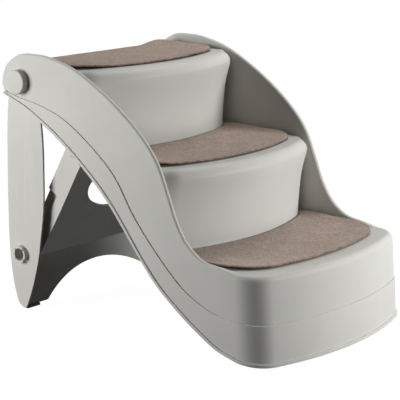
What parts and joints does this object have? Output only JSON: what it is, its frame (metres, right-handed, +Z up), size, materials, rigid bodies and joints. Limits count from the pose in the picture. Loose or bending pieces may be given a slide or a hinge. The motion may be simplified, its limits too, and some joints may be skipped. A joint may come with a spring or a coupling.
{
  "type": "folding pet stairs",
  "caption": "Folding pet stairs: grey moulded shell with curved side walls, carpeted treads, swing-down rear leg and brace.",
  "frame": {"origin": "on the floor, under the middle of the object's box", "axes": "+X down the stairs towards the front, +Y to the left side wall, +Z up"},
  "size_m": [0.671, 0.485, 0.5081],
  "materials": {
    "grey_plastic": "light warm grey, satin, fine moulded grain",
    "carpet": "taupe brown short loop carpet",
    "hook_tape": "black hook-and-loop tape",
    "foot_rubber": "matte dark grey rubber",
    "washer_plastic": "dark grey slippery plastic"
  },
  "bodies": {
    "stairs": {"stair_shell": "grey_plastic", "tread_mat_bottom": "carpet", "tread_mat_middle": "carpet", "tread_mat_top": "carpet", "mat_grips_bottom": "hook_tape", "mat_grips_middle": "hook_tape", "mat_grips_top": "hook_tape", "hinge_cap_left": "grey_plastic", "hinge_cap_right": "grey_plastic", "hinge_washer_left": "washer_plastic", "hinge_washer_right": "washer_plastic", "hinge_retainer_left": "washer_plastic", "hinge_retainer_right": "washer_plastic", "front_feet": "foot_rubber"},
    "rear_leg": {"rear_leg": "grey_plastic", "leg_foot_left": "foot_rubber", "leg_foot_right": "foot_rubber"},
    "brace": {"brace": "grey_plastic", "pivot_washer_left": "washer_plastic", "pivot_washer_right": "washer_plastic"}
  },
  "joints": [
    {"name": "leg_fold", "type": "hinge", "parent": "stairs", "child": "rear_leg", "pos_m": [-0.2855, 0, 0.453], "axis": [0, -1, 0], "range_deg": [0, 26]},
    {"name": "brace_fold", "type": "hinge", "parent": "rear_leg", "child": "brace", "pos_m": [-0.2995, 0, 0.111], "axis": [0, -1, 0], "range_deg": [0, 22]}
  ],
  "couplings": [
    {"joint": "brace_fold", "follows": "leg_fold", "ratio": 0.81}
  ]
}
